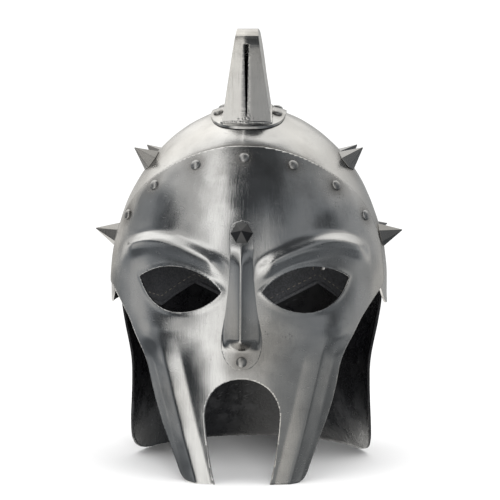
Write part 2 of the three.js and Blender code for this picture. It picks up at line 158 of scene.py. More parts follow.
def cutAcross(normal, stops):
    # adds an edge loop at each stop along the normal
    for stop in stops:
        bpy.ops.mesh.select_all(action="SELECT")
        bpy.ops.mesh.bisect(plane_co=tuple(np.array(normal) * stop), plane_no=normal)


def roundEdges(piece, width, segments=3, turn=50):
    # edges that turn by fewer degrees stay as they are
    settings = {"width": width, "segments": segments, "angle_limit": radians(turn)}
    applyModifier(piece, "BEVEL", settings)


def combine(piece, tool, operation):
    settings = {"operation": operation, "solver": "EXACT", "object": tool}
    applyModifier(piece, "BOOLEAN", settings)
    bpy.data.objects.remove(tool)


def combineCurved(piece, tool, operation):
    # curved faces are split into flat ones first, because a cut through them leaves gaps
    for body in (piece, tool):
        applyModifier(body, "TRIANGULATE", {})
    combine(piece, tool, operation)


def addObject(name, data):
    made = bpy.data.objects.new(name, data)
    bpy.context.collection.objects.link(made)
    return made


def aim(thing, at, back):
    thing.location = at
    thing.rotation_mode = "QUATERNION"
    thing.rotation_quaternion = back.to_track_quat("Z", "Y")


def copyOf(piece):
    return addObject(piece.name, piece.data.copy())


def join(first, others):
    only(first)
    for piece in others:
        piece.select_set(True)
    bpy.ops.object.join()


def faceOut(piece):
    editAll(piece)
    bpy.ops.mesh.normals_make_consistent(inside=False)
    objectMode()


polish = {
    "sliver": 0.000002,  # faces thinner than this are closed
    "gapSides": 4,  # gaps with up to this many sides are filled
    "faceSides": 5,  # faces with this many sides or more are split
    "lead": 60,  # how much wide faces lead the shading, so that rounded edges stay crisp
}


def polished(piece):
    only(piece)
    editAll(piece)
    bpy.ops.mesh.dissolve_degenerate(threshold=polish["sliver"])
    bpy.ops.mesh.fill_holes(sides=polish["gapSides"])
    objectMode()
    applyModifier(piece, "TRIANGULATE", {"min_vertices": polish["faceSides"]})
    bpy.ops.object.shade_smooth()
    applyModifier(piece, "WEIGHTED_NORMAL", {"weight": polish["lead"]})
    return piece


def curvePoint(controls, share):
    # a line, or a quadratic or cubic curve, by the number of its control points
    while len(controls) > 1:
        controls = [mixed(a, b, share) for a, b in zip(controls, controls[1:])]
    return controls[0]


def drawn(start, strokes, spacing):
    # strokes follow each other, and each lists its control points after the one where it starts
    points = [np.array(start, dtype=float)]
    for stroke in strokes:
        controls = [points[-1]] + [np.array(point, dtype=float) for point in stroke]
        measured = np.array([curvePoint(controls, share) for share in np.linspace(0, 1, 33)])
        length = np.linalg.norm(np.diff(measured, axis=0), axis=1).sum()
        count = max(1, round(length / spacing))
        points += [curvePoint(controls, step / count) for step in range(1, count + 1)]
    return np.array(points)


def mirroredOutline(half):
    other = half[-2:0:-1] * (-1, 1)
    return np.vstack([half, other])


def distanceTo(points, outline):
    nearest = np.full(len(points), np.inf)
    for start, end in zip(outline, np.roll(outline, -1, axis=0)):
        way = end - start
        share = unit((points - start) @ way / max(way @ way, 1e-12))
        away = np.linalg.norm(points - start - share[:, None] * way, axis=1)
        nearest = np.minimum(nearest, away)
    return nearest


# Finishes: node trees that are written as sums, so that 1 - smudge adds a Math node


class Signal:
    def __init__(self, finish, socket):
        self.finish = finish
        self.socket = socket

    def __add__(self, other):
        return self.finish.maths("ADD", self, other)

    def __mul__(self, other):
        return self.finish.maths("MULTIPLY", self, other)

    def __sub__(self, other):
        return self.finish.maths("SUBTRACT", self, other)

    def __rsub__(self, other):
        return self.finish.maths("SUBTRACT", other, self)

    __radd__ = __add__
    __rmul__ = __mul__


class Finish:
    def __init__(self, tree):
        self.tree = tree
        tree.nodes.clear()

    def node(self, kind, settings=None, **values):
        made = self.tree.nodes.new("ShaderNode" + kind)
        for key, value in (settings or {}).items():
            setattr(made, key, value)
        for key, value in values.items():
            self.feed(made.inputs[key.replace("_", " ")], value)
        return made

    def feed(self, socket, value):
        if isinstance(value, Signal):
            self.tree.links.new(value.socket, socket)
        else:
            socket.default_value = value

    def read(self, output, kind, settings=None, **values):
        return Signal(self, self.node(kind, settings, **values).outputs[output])

    def maths(self, operation, *values):
        made = self.node("Math", {"operation": operation})
        for socket, value in zip(made.inputs, values):
            self.feed(socket, value)
        return Signal(self, made.outputs["Value"])

    def step(self, value, low, high):
        softly = {"interpolation_type": "SMOOTHSTEP"}
        return self.read("Result", "MapRange", softly, Value=value, From_Min=low, From_Max=high)

    def place(self):
        return self.read("Object", "TexCoord")

    def apart(self, vector):
        made = self.node("SeparateXYZ", Vector=vector)
        return [Signal(self, made.outputs[axis]) for axis in "XYZ"]

    def together(self, x, y, z):
        return self.read("Vector", "CombineXYZ", X=x, Y=y, Z=z)

    def cloud(self, vector, scale, detail, roughness):
        return self.read("Fac", "TexNoise", Vector=vector, Scale=scale, Detail=detail, Roughness=roughness)

    def cells(self, vector, scale, feature="F1"):
        return self.read("Distance", "TexVoronoi", {"feature": feature}, Vector=vector, Scale=scale)

    def mix(self, share, low, high):
        # the sockets of a colour mix: its factor, A, B and Result
        made = self.node("Mix", {"data_type": "RGBA"})
        for number, value in ((0, share), (6, low), (7, high)):
            self.feed(made.inputs[number], value)
        return Signal(self, made.outputs[2])

    def patches(self, vector, scale, detail, roughness, low, high):
        return self.step(self.cloud(vector, scale, detail, roughness), low, high)

    def spots(self, vector, scale, low, high):
        return self.step(self.cells(vector, scale), low, high)

    def slanted(self, x, y, z, across, lean, up, tilt):
        # stretches what is drawn on it into slanting streaks
        return self.together(x * across + z * lean, y * across, z * up - x * tilt)

    def stored(self, name):
        return self.read("Fac", "Attribute", {"attribute_name": name})

    def bumped(self, height, distance):
        return self.read("Normal", "Bump", Height=height, Distance=distance)

    def surface(self, values):
        made = self.node("BsdfPrincipled")
        for key, value in values.items():
            self.feed(made.inputs[key], value)
        end = self.node("OutputMaterial")
        self.tree.links.new(made.outputs["BSDF"], end.inputs["Surface"])


def weighed(signals, weights):
    parts = [signal * weight for signal, weight in zip(signals, weights)]
    return sum(parts[1:], parts[0])


def newFinish(name):
    material = bpy.data.materials.new(name)
    material.use_nodes = True
    return material, Finish(material.node_tree)


# In each finish a cloud is given by its scale, detail and roughness, patches by a cloud and by the shades
# from which they start to show and are full, and spots by their scale and by the reaches for the same.

steel = {
    "cool": (0.60, 0.605, 0.61, 1),
    "warm": (0.60, 0.588, 0.565, 1),
    "sootAndShade": (0.20, 0.19, 0.18, 1),
    "black": (0.03, 0.03, 0.032, 1),
    "axis": 0.004,  # the brush lines run down from an upright axis this far in front of the middle
    "brushed": ((75, 7, 3, 3, 0.65), (420, 16, 3, 2, 0.6)),  # how dense round and up it, and a cloud
    "smudges": (24, 4, 0.6, 0.36, 0.68),
    "warmth": (7, 2, 0.5, 0.4, 0.62),
    "stains": (15, 5, 0.62, 0.5, 0.72),
    "pits": (420, 0.3, 0.12),
    "pitted": (38, 2, 0.5, 0.63, 0.7),
    "scratches": (4, 1, 0.4, 0.7, 0.74),
    "slant": (60, 240, 40, 20),
    "sootAndShadeBy": (0.14, 0.38, 0.5, 0.75),  # where it isn't smudged, and on stains, pits, and grime that also holds painted contact shade
    "rougher": (0.1, 0.1, 0.07, 0.2, 0.1),  # smudges, brush lines, fine ones, grime with painted contact shade, and scratches
    "relief": (0.9, 0.5, -0.75, -0.15),  # brush lines, fine ones, pits and scratches
    "bump": 0.00004,
}


def makeSteel(name, tone, roughness):
    # satin steel: brush lines that run down the slopes, smudges, stains, light scratches and a few pits
    material, f = newFinish(name)
    place = f.place()
    x, y, z = f.apart(place)
    turn = f.maths("ARCTAN2", x, y + steel["axis"])
    lines, fine = (f.cloud(f.together(turn * a, z * b, 0.0), *cloud) for a, b, *cloud in steel["brushed"])
    smudge = f.patches(place, *steel["smudges"])
    stain = f.patches(place, *steel["stains"])
    pits = f.spots(place, *steel["pits"]) * f.patches(place, *steel["pitted"])
    scratch = f.patches(f.slanted(x, y, z, *steel["slant"]), *steel["scratches"])
    # the stored attribute darkens the steel with dirt and with painted contact shade round every head and
    # along the mask's edge
    grimeAndShade = f.stored("grimeAndShade")
    tint = f.mix(f.patches(place, *steel["warmth"]), steel["cool"], steel["warm"])
    shade = f.mix(weighed((1 - smudge, stain, pits, grimeAndShade), steel["sootAndShadeBy"]), tint, steel["sootAndShade"])
    rough = weighed((smudge, lines - 0.5, fine - 0.5, grimeAndShade, scratch), steel["rougher"])
    height = weighed((lines, fine, pits, scratch), steel["relief"])
    values = {
        "Base Color": f.mix(1 - tone, shade, steel["black"]),
        "Roughness": roughness + rough,
        "Normal": f.bumped(height, steel["bump"]),
        "Metallic": 1.0,
    }
    f.surface(values)
    return material


paint = {
    "black": (0.006, 0.006, 0.007, 1),
    # this worn grey also serves as the painted highlight on the flared foot
    "wornAndSheen": (0.044, 0.044, 0.046, 1),
    "metal": (0.2, 0.2, 0.2, 1),
    "dust": (0.04, 0.039, 0.037, 1),
    "mottle": (60, 5, 0.66),
    "broad": (12, 3, 0.5),
    "grain": (330, 4, 0.7),
    "scratches": (5, 2, 0.5, 0.655, 0.685),
    "slant": (30, 14, 160, 60),
    "scratched": (17, 2, 0.5, 0.52, 0.6),
    "chips": (260, 0.32, 0.2),
    "chipped": (60, 2, 0.6, 0.66, 0.7),
    "mottledWearAndSheen": (0.43, 0.6),  # where its mottle is worn, and on the flared foot also carries a painted highlight
    "sheenBand": ((0.008, 0.024), (0.034, 0.054)),  # the levels of the painted highlight band on its flared foot, where the worn mottle is lightened most
    "wearAndSheen": (0.16, 0.66),  # how much it is worn elsewhere, and how much painted highlight the band adds there
    "dusty": (0.5, 0.8),
    "dusting": 0.35,
    "scratching": 0.45,
    "rougher": (0.5, 0.3, 0.16, 0.1),  # mottle, grain, broad clouds and bare metal
    "relief": (0.9, 1.6, -0.2),  # grain, mottle and bare metal
    "bump": 0.0003,
}


def makePaint(name, gloss, wearAndSheen):
    # brushed-on black paint: mottled sheen, worn and dusty patches, a painted highlight band on the flared
    # foot, chips, and scratches where it rubs
    material, f = newFinish(name)
    place = f.place()
    x, y, z = f.apart(place)
    mottle, broad, grain = (f.cloud(place, *paint[key]) for key in ("mottle", "broad", "grain"))
    scratch = f.patches(f.slanted(x, y, z, *paint["slant"]), *paint["scratches"]) * wearAndSheen
    scratch = scratch * f.patches(place, *paint["scratched"])
    chips = f.spots(place, *paint["chips"]) * f.patches(place, *paint["chipped"]) * wearAndSheen
    # a painted highlight band lightens the worn mottle at the levels of the flared foot
    lower, upper = paint["sheenBand"]
    sheenBand = f.step(z, *lower) * f.step(z, *upper[::-1])
    least, extraSheen = paint["wearAndSheen"]
    wornAndSheen = f.step(mottle, *paint["mottledWearAndSheen"]) * (least + sheenBand * extraSheen) * wearAndSheen
    markedAndSheen = f.mix(wornAndSheen, paint["black"], paint["wornAndSheen"])
    dusty = f.mix(f.step(broad, *paint["dusty"]) * paint["dusting"] * wearAndSheen, markedAndSheen, paint["dust"])
    bare = f.maths("MAXIMUM", scratch * paint["scratching"], chips)
    rough = weighed((mottle - 0.5, grain - 0.5, broad - 0.5, bare), paint["rougher"])
    values = {
        "Base Color": f.mix(bare, dusty, paint["metal"]),
        "Roughness": gloss + rough,
        "Metallic": bare * 0.8,
        "Normal": f.bumped(weighed((grain, mottle, bare), paint["relief"]), paint["bump"]),
        "Specular IOR Level": 0.42,
    }
    f.surface(values)
    return material


leather = {
    "dark": (0.075, 0.077, 0.083, 1),
    "rubbed": (0.16, 0.16, 0.16, 1),
    "crease": (0.008, 0.008, 0.008, 1),
    "grain": 780,
    "pores": (0.2, 0.6),  # where its grain darkens
    "creases": 95,
    "creased": (0.05, 0.0),
    "soft": (35, 4, 0.6),
    "softened": (0.45, 0.7),
    "rubbings": (18, 3, 0.55, 0.5, 0.75),
    "darker": (0.4, 0.5),  # pores and creases
    "rougher": (0.24, -0.1),  # soft clouds and rubbed places
    "relief": (1.4, -0.5, -0.7),  # soft clouds, grain and creases
    "bump": 0.00022,
}


def makeLeather(name):
    # black leather: a pebbled grain with creases, rubbed in places
    material, f = newFinish(name)
    place = f.place()
    pebbles = f.cells(place, leather["grain"], "SMOOTH_F1")
    soft = f.cloud(place, *leather["soft"])
    creases = f.step(f.cells(place, leather["creases"], "DISTANCE_TO_EDGE"), *leather["creased"])
    creases = creases * f.step(soft, *leather["softened"])
    rubbed = f.patches(place, *leather["rubbings"])
    tint = f.mix(rubbed * 0.6, leather["dark"], leather["rubbed"])
    dark = weighed((f.step(pebbles, *leather["pores"]), creases), leather["darker"])
    values = {
        "Base Color": f.mix(dark, tint, leather["crease"]),
        "Roughness": 0.5 + weighed((soft, rubbed), leather["rougher"]),
        "Normal": f.bumped(weighed((soft, pebbles, creases), leather["relief"]), leather["bump"]),
        "Specular IOR Level": 0.45,
    }
    f.surface(values)
    return material


thread = {
    "waxed": (0.32, 0.29, 0.25, 1),
    "soiled": (0.05, 0.045, 0.04, 1),
    "twist": 9000,
    "soil": (300, 2, 0.5),
    "soiling": 0.7,
    "rougher": 0.2,  # where it is soiled
    "bump": 0.00008,
}


def makeThread(name):
    # waxed linen: the twist shows as fine slanting bands
    material, f = newFinish(name)
    place = f.place()
    x, y, z = f.apart(place)
    twist = f.maths("SINE", (x + y + z) * thread["twist"])
    soil = f.cloud(place, *thread["soil"])
    values = {
        "Base Color": f.mix(soil * thread["soiling"], thread["waxed"], thread["soiled"]),
        "Roughness": 0.6 + soil * thread["rougher"],
        "Normal": f.bumped(twist, thread["bump"]),
    }
    f.surface(values)
    return material


finishes = {
    "steel": makeSteel("satinSteel", 1, 0.12),
    "rivets": makeSteel("wornSteel", 0.72, 0.3),
    "dark": makeSteel("darkSteel", 0.5, 0.16),
    "blackened": makeSteel("blackenedSteel", 0.1, 0.26),
    "paint": makePaint("blackPaint", 0.3, 1),
    "inner": makePaint("innerPaint", 0.55, 0.4),
    "leather": makeLeather("blackLeather"),
    "thread": makeThread("waxedThread"),
}


def dress(piece, *names):
    piece.data.materials.clear()
    for name in names:
        piece.data.materials.append(finishes[name])


print("finishes ready")


# The forms of the sheets: an oval at each level, closed by a dome above the widest line


def depthShare(level):
    return unit((widest - level) / widest)


def skullForm(level):
    return bowl["side"], bowl["front"], bowl["rear"]


def maskForm(level):
    depth = depthShare(level) ** 2
    return bowl["side"] - mask["cheekTaper"] * depth, bowl["front"] - mask["chinTuck"] * depth, bowl["rear"]


def guardForm(level):
    tuck = smooth(depthShare(level), 0, 0.5)
    flare = unit(2 * depthShare(level) - 1) ** 2
    side = bowl["side"] - guard["sideTuck"] * tuck + guard["sideFlare"] * flare
    rear = bowl["rear"] - guard["napeTuck"] * tuck + guard["napeFlare"] * flare
    return side, bowl["front"], rear


def around(form, formLevel, angle, grow, shrink, level):
    side, front, rear = form(formLevel)
    lengthwise = np.where(np.cos(angle) > 0, front, rear) + grow
    x = (side + grow) * shrink * np.sin(angle)
    y = middleY - lengthwise * shrink * np.cos(angle)
    return places(x, y, level)


def ovalPoint(form, angle, level, grow):
    rise = unit((level - widest) / (bowl["height"] + grow))
    return around(form, level, angle, grow, np.sqrt(1 - rise * rise), level)


def arcPoint(form, angle, arc, grow):
    turn = np.minimum(arc, pi / 2)
    level = widest - (arc - turn) * bowl["height"]
    height = level + (bowl["height"] + grow) * np.cos(turn)
    return around(form, level, angle, grow, np.sin(turn), height)


def halfWidthAt(arc):
    return bowl["side"] * np.sin(np.minimum(arc, pi / 2))


def arcDownTo(level):
    rise = (level - widest) / bowl["height"]
    return np.where(rise > 0, np.arccos(unit(rise)), pi / 2 - rise)


def hammered(points, waves):
    # neighbouring sheets share these waves, so they keep clear of each other
    return np.array([sum(high * noise.noise(Vector(p) / long) for high, long in waves) for p in points])


def bowlWaves(across, level):
    return hammered(ovalPoint(skullForm, across / bowl["side"], level, 0), bowl["waves"])


def turnOf(angle):
    return np.abs(np.arctan2(np.sin(angle), np.cos(angle)))


# The domes start as half a ball, and flat sheets as a slab that is cut and then formed


def addDome(name, form, grow, thickness, rimLevel, look, relief=None):
    piece = addBall(look["columns"], 2 * look["rings"])
    piece.name = name
    lower = getPoints(piece)[:, 2] < -1e-4
    editAll(piece)
    bpy.ops.mesh.select_all(action="DESELECT")
    objectMode()
    piece.data.vertices.foreach_set("select", lower)
    bpy.ops.object.mode_set(mode="EDIT")
    bpy.ops.mesh.delete(type="VERT")
    objectMode()
    x, y, z = getPoints(piece).T
    angle = np.arctan2(x, -y)
    arc = np.arccos(unit(z)) / (pi / 2) * arcDownTo(rimLevel(angle))
    base = arcPoint(form, angle, arc, 0)
    grown = grow + hammered(base, look["waves"])
    if relief is not None:
        grown = grown + relief(angle, arc)
    setPoints(piece, arcPoint(form, angle, arc, grown))
    faceOut(piece)
    dress(piece, *look["finish"])
    applyModifier(piece, "SOLIDIFY", {"thickness": thickness, "offset": -1, "material_offset": 1})
    roundEdges(piece, look["edge"])
    return piece


def addTool(outline, depth):
    return addPrism(np.column_stack([outline, np.full(len(outline), depth)]), (0, 0, -3 * depth))


def addSheet(name, outline, holes, thickness, place, look):
    low, high = outline.min(axis=0), outline.max(axis=0)
    cells = 2 * np.ceil((high - low) / look["cell"] / 2).astype(int) + 2
    bpy.ops.mesh.primitive_grid_add(x_subdivisions=int(cells[0]), y_subdivisions=int(cells[1]), size=1)
    piece = bpy.context.object
    piece.name = name
    editAll(piece)
    bpy.ops.transform.resize(value=(*(cells * look["cell"]), 1))
    bpy.ops.transform.translate(value=(*(low + high) / 2, 0))
    extrude((0, 0, -thickness))
    faceOut(piece)
    combine(piece, addTool(outline, thickness), "INTERSECT")
    for hole in holes:
        combine(piece, addTool(hole, thickness), "DIFFERENCE")
    editAll(piece)
    bpy.ops.mesh.remove_doubles(threshold=look["cell"] / 5)
    objectMode()
    middles = np.empty(len(piece.data.polygons) * 3)
    piece.data.polygons.foreach_get("center", middles)
    inner = middles.reshape(-1, 3)[:, 2] < -0.99 * thickness
    dress(piece, *look["finish"])
    piece.data.polygons.foreach_set("material_index", inner.astype(int))
    roundEdges(piece, look["edge"])
    flat = getPoints(piece)
    setPoints(piece, place(flat[:, 0], flat[:, 1], -flat[:, 2]))
    return piece


# Bowl


def skullRim(angle):
    temple = mask["halfSpan"] / bowl["side"]
    fall = smooth(turnOf(angle), 0.7 * temple, 1.18 * temple)
    return widest + mixed(bowl["rimRise"], -bowl["rimDrop"], fall)


def frontSeam(angle, arc):
    height, half = bowl["seam"]
    away = halfWidthAt(arc) * np.sin(angle)
    return height * bump(away / half) * smooth(np.cos(angle), 0, 0.3) * (1 - smooth(arc, 0.9, 1))


def makeSkull():
    return addDome("bowl", skullForm, 0, bowl["sheet"], skullRim, bowl, frontSeam)


# Face mask, measured along the sheet from the middle of the face

mask = {
    "sheet": 0.0015,
    "halfSpan": 0.134,
    "rise": 0.112,
    "templeRise": 0.038,
    "eyeInner": 0.015,
    "eyeWidth": 0.072,
    "eyeHeight": 0.038,
    "eyeRise": 0.007,
    "mouthDrop": 0.060,
    "mouthHalf": 0.031,
    "tipInner": 0.027,
    "tipWidth": 0.035,
    "tipCorner": 0.009,
    "cheekTaper": 0.026,
    "chinTuck": 0.004,
    "brow": 0.005,
    "socket": 0.0035,
    "cheek": 0.0045,
    "keel": 0.0032,
    "noseSlot": (0.008, 0.038),
    "spring": 0.0014,  # how far its upper edge stands off the bowl
    "springFrom": 0.72,
    "springLevels": (-0.02, 0.012),  # from the widest line; below the first it doesn't spring
    "lip": 0.0011,  # how far the eye openings' edges turn out
    "lipWidth": 0.0022,
    "cell": 0.0014,
    "edge": 0.0005,
    "finish": ("steel", "inner"),
}
eyeLevel = widest + mask["eyeRise"]
eyeMiddle = mask["eyeInner"] + mask["eyeWidth"] / 2
maskGrow = gaps["sheet"] + mask["sheet"]


def maskOutline():
    keys = "mouthHalf", "halfSpan", "templeRise", "tipInner", "tipWidth", "tipCorner"
    half, span, templeRise, inner, width, corner = (mask[key] for key in keys)
    mouthTop = widest - mask["mouthDrop"]
    archFoot = mouthTop - half
    outer = inner + width
    jaw = 0.6 * span, 0.6 * widest
    templeFoot = widest + 0.16 * templeRise
    templeTop = widest + templeRise
    strokes = [
        [(0.56 * half, mouthTop), (half, mixed(mouthTop, archFoot, 0.44)), (half, archFoot)],
        [(half, 0.4 * archFoot), (inner, 0)],
        [(outer - corner, 0)],
        [(outer, 0), (outer + 0.2 * corner, corner)],
        [(mixed(outer, jaw[0], 0.35), 0.4 * jaw[1]), (mixed(outer, jaw[0], 0.85), 0.6 * jaw[1]), jaw],
        [
            (1.05 * jaw[0], mixed(jaw[1], templeFoot, 0.45)),
            (0.78 * span, mixed(jaw[1], templeFoot, 0.7)),
            (span, templeFoot),
        ],
        [(span, templeTop)],
    ]
    lower = drawn((0, mouthTop), strokes, 1.3 * mask["cell"])
    turns = np.linspace(0, pi / 2, 110)[1:]
    arch = np.column_stack([span * np.cos(turns), templeTop + (mask["rise"] - templeRise) * np.sin(turns)])
    return mirroredOutline(np.vstack([lower, arch]))


def eyeOutline(side):
    def at(across, up):
        return side * (mask["eyeInner"] + across * mask["eyeWidth"]), eyeLevel + up * mask["eyeHeight"]

    strokes = [
        [at(0.2, 0.46), at(0.62, 0.58), at(1, 0.18)],
        [at(0.82, -0.62), at(0.26, -0.68), at(0, -0.06)],
    ]
    return drawn(at(0, -0.06), strokes, 1.3 * mask["cell"])[:-1]


def noseSlot():
    half, height = mask["noseSlot"]
    turns = np.linspace(0, 2 * pi, 41)[:-1]
    return np.column_stack([half * np.cos(turns), widest + height * (0.5 * np.sin(turns) - 0.45)])


# Eye socket and cheekbone: places and reaches as shares of the eye's width and height
swells = [
    {"across": 0, "up": 0, "wide": 0.47, "high": 0.42, "raised": -mask["socket"]},
    {"across": 0.21, "up": -0.9, "wide": 0.36, "high": 0.34, "raised": mask["cheek"]},
]


def browHeight(x, level):
    reach = x / eyeMiddle
    along = unit((reach - 0.03) / 2.7)
    above = (level - eyeLevel) / mask["eyeHeight"] - 0.26 - 0.63 * np.sin(pi * along)
    fades = smooth(reach, 0.15, 0.47) * (1 - smooth(reach, 1.8, 2.3))
    return mask["brow"] * bump(above / np.where(above > 0, 0.13, 0.24)) * fades


def keelHeight(x, level):
    top = eyeLevel - 0.9 * mask["eyeHeight"]
    foot = mask["tipInner"] + mask["tipWidth"] / 2
    line = mixed(foot, 1.25 * eyeMiddle, unit(level / top))
    side = rounded(x - line, 0.0009) / (0.36 * mask["tipWidth"])
    flank = (1 - side + rounded(1 - side, 0.06)) / 2
    return mask["keel"] * flank * (1 - smooth(level, 0.78 * top, top))


def edgeSpring(across, level):
    # it springs more and more from the place that is named springFrom, a share of the way to the edge
    templeTop = widest + mask["templeRise"]
    above = unit((level - templeTop) / (mask["rise"] - mask["templeRise"]))
    reach = np.hypot(across / mask["halfSpan"], above)
    share = unit((reach - mask["springFrom"]) / (1 - mask["springFrom"]))
    return mask["spring"] * share**2 * smooth(level - widest, *mask["springLevels"])


def maskRelief(across, level):
    x = np.abs(across)
    relief = browHeight(x, level) + keelHeight(x, level) + edgeSpring(across, level)
    for swell in swells:
        aside = (x - eyeMiddle) / mask["eyeWidth"] - swell["across"]
        up = (level - eyeLevel) / mask["eyeHeight"] - swell["up"]
        relief = relief + swell["raised"] * bump(aside / swell["wide"]) * bump(up / swell["high"])
    return relief


def maskPlace(across, level, depth):
    grow = maskGrow - depth + bowlWaves(across, level) + maskRelief(across, level)
    return ovalPoint(maskForm, across / bowl["side"], level, grow)


def lippedPlace(across, level, depth):
    away = distanceTo(np.column_stack([np.abs(across), level]), eyeOutline(1))
    return maskPlace(across, level, depth - mask["lip"] * bump(away / mask["lipWidth"]))


def makeMask():
    holes = [eyeOutline(1), eyeOutline(-1), noseSlot()]
    return addSheet("mask", maskOutline(), holes, mask["sheet"], lippedPlace, mask)


# Nose piece: half widths as shares of the widest, down its length from the top

nose = {
    "sheet": 0.0018,
    "top": 0.058,  # above the widest line
    "foot": 0.053,  # below it
    "half": 0.015,
    "depth": 0.015,
    "sections": [
        (0, 0),
        (0.03, 0.5),
        (0.11, 0.63),
        (0.3, 0.56),
        (0.58, 0.73),
        (0.8, 1),
        (0.92, 0.85),
        (0.985, 0.45),
        (1, 0),
    ],
    "spacing": 0.0011,  # of its outline's corners
    "cell": 0.0008,
    "edge": 0.0004,
    "finish": ("steel", "steel"),
}
noseLength = nose["top"] + nose["foot"]


def noseLevel(down):
    return widest + nose["top"] - down * noseLength


def noseOutline():
    knots = np.array([(half * nose["half"], noseLevel(down)) for down, half in nose["sections"]])
    padded = np.vstack([knots[0], knots, knots[-1]])
    points = [knots[0]]
    for a, b, c, d in zip(padded, padded[1:], padded[2:], padded[3:]):
        count = max(3, round(np.linalg.norm(c - b) / nose["spacing"]))
        for step in range(1, count + 1):
            t = step / count
            bend = (2 * a - 5 * b + 4 * c - d) * t * t + (3 * b - a - 3 * c + d) * t**3
            points.append(b + ((c - a) * t + bend) / 2)
    return mirroredOutline(np.array(points))


def noseRidge(across, level):
    down = (widest + nose["top"] - level) / noseLength
    growth = unit((down - 0.25) / 0.5)
    ends = smooth(down, 0.14, 0.3) * (1 - smooth(down, 0.78, 0.88))
    side = rounded(across, 0.0007) / (nose["half"] * mixed(0.5, 0.84, growth))
    flank = (1 - side + rounded(1 - side, 0.08)) / 2
    return nose["depth"] * mixed(0.42, 1, growth) * ends * flank


def nosePlace(across, level, depth):
    return maskPlace(across, level, depth - gaps["sheet"] - nose["sheet"] - noseRidge(across, level))


def makeNose():
    return addSheet("nosePiece", noseOutline(), [], nose["sheet"], nosePlace, nose)


# Neck guard, measured round the back from the middle of the nape

guard = {
    "sheet": 0.002,
    "halfAngle": radians(81),
    "overlap": 0.014,
    "bow": 0.002,
    "dish": 0.006,  # how much lower its rows hang at its sides
    "footRise": 0.001,  # how much higher its foot is there
    "corner": 0.034,
    "sideTuck": 0.010,
    "sideFlare": 0.004,
    "napeTuck": 0.016,
    "napeFlare": 0.032,
    "cell": 0.0024,
    "edge": 0.0006,
    "finish": ("paint", "paint"),
    "waves": ((0.0005, 0.07), (0.00012, 0.02)),
}
guardGrow = -(bowl["sheet"] + gaps["guard"])


def guardOutline():
    halfSpan, corner = guard["halfAngle"] * bowl["side"], guard["corner"]
    top = widest + guard["overlap"]
    side = top - guard["bow"]
    rounding = 0.7 * guard["overlap"]
    strokes = [
        [(halfSpan - 1.3 * corner, 0)],
        [(halfSpan - 0.5 * corner, 0), (halfSpan - 0.06 * corner, 0.4 * corner), (halfSpan, 1.2 * corner)],
        [(halfSpan, side - rounding)],
        [(halfSpan, side), (halfSpan - rounding, side)],
        [((halfSpan - rounding) / 2, top), (0, top)],
    ]
    return mirroredOutline(drawn((0, 0), strokes, 1.2 * guard["cell"]))


def guardPlace(across, level, depth):
    height = unit(level / (widest + guard["overlap"]))
    share = across / (guard["halfAngle"] * bowl["side"])
    lift = guard["footRise"] * (1 - height) - guard["dish"] * np.sin(pi * height)
    level = level + lift * share**2
    angle = pi + across / bowl["side"]
    base = ovalPoint(guardForm, angle, level, 0)
    free = smooth(widest - level, 0.03, 0.07) * smooth(level, 0, 0.012)
    waves = hammered(base, bowl["waves"]) * (1 - free) + hammered(base, guard["waves"]) * free
    return ovalPoint(guardForm, angle, level, guardGrow - depth + waves)


def makeGuard():
    return addSheet("guard", guardOutline(), [], guard["sheet"], guardPlace, guard)


# Leather liner: gores that are sewn together and hang in points behind the ears and at the nape

liner = {
    "leather": 0.002,
    "edgeTurns": (0, 50, 80, 100, 130, 150, 180),
    "edgeRises": (0.0504, 0.0504, 0.0072, -0.0056, -0.0224, -0.0063, -0.0336),  # from the widest line
    "columns": 216,
    "rings": 70,
    "edge": 0.0006,
    "finish": ("leather", "leather"),
    "waves": (*bowl["waves"], (0.0001, 0.009)),
    "seams": (-150, -90, -30, 30, 90, 150),
    "seamRise": 0.0007,
    "seamWidth": 0.0035,
    "stitchGap": 0.0052,
    "stitchLength": 0.0034,
    "rows": 0.0042,  # from the middle of a seam to each of its rows of stitches
    "hem": 0.042,  # from the edge to the row that runs round, in turns of its arc
    "hemHalf": radians(0.8),
    "thread": 0.00045,
    "proud": 0.0003,  # how far the stitches' middles stand off the leather
    "binding": 0.0019,
    "sag": 0.0008,
}
linerGrow = guardGrow - guard["sheet"] - gaps["sheet"]


def linerRim(angle):
    turn = np.degrees(turnOf(angle))
    return widest + np.interp(turn, liner["edgeTurns"], liner["edgeRises"])


def seamRelief(angle, arc):
    relief = np.zeros(len(angle))
    for seam in liner["seams"]:
        away = turnOf(angle - radians(seam)) * halfWidthAt(arc)
        relief -= liner["seamRise"] * bump(away / liner["seamWidth"])
    return relief - 0.0002


def makeLiner():
    return addDome("leatherLiner", guardForm, linerGrow, liner["leather"], linerRim, liner, seamRelief)


def innerStitch(angle, arc):
    return arcPoint(guardForm, angle, arc, linerGrow - liner["leather"] - liner["proud"])


def threadRun(ends):
    # each stitch is a small grain from one end to the other
    grain = addBall(8, 6, liner["thread"])
    shape = getPoints(grain)
    stitches = []
    for start, end in ends:
        along = Vector(end - start)
        turn = along.to_track_quat("Z", "Y").to_matrix()
        stretched = shape * (1, 1, along.length / 2 / liner["thread"])
        stitch = copyOf(grain)
        setPoints(stitch, stretched @ np.array(turn).T + (start + end) / 2)
        stitches.append(stitch)
    bpy.data.objects.remove(grain)
    run = stitches[0]
    join(run, stitches[1:])
    bpy.ops.object.shade_smooth()
    return run


